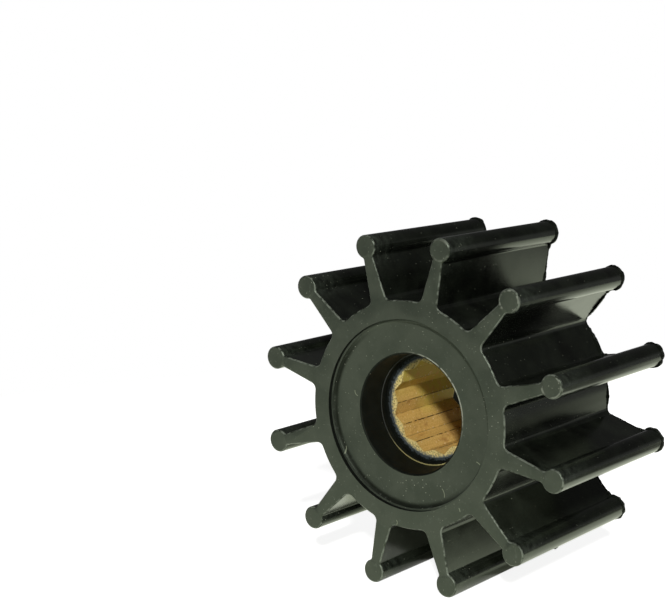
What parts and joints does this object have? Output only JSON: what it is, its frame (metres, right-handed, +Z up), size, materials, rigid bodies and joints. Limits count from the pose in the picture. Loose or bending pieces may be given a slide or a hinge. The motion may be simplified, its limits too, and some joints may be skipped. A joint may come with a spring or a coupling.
{
  "type": "rubber pump impeller",
  "caption": "Flexible-vane sea-water pump impeller: moulded rubber hub with straight bulb-tipped blades, bonded round a brass sleeve with a splined through hole.",
  "frame": {"origin": "on the shaft axis, halfway along the width", "axes": "+Y along the shaft axis, from the front end face to the rear one; +Z up when the impeller lies on two neighbouring blade tips"},
  "size_m": [0.0932, 0.0524, 0.0927],
  "materials": {
    "impeller_rubber": "moulded, satin",
    "insert_brass": "broached, dull"
  },
  "bodies": {
    "root": {"rubber_impeller": "impeller_rubber", "drive_insert": "insert_brass"}
  },
  "joints": []
}
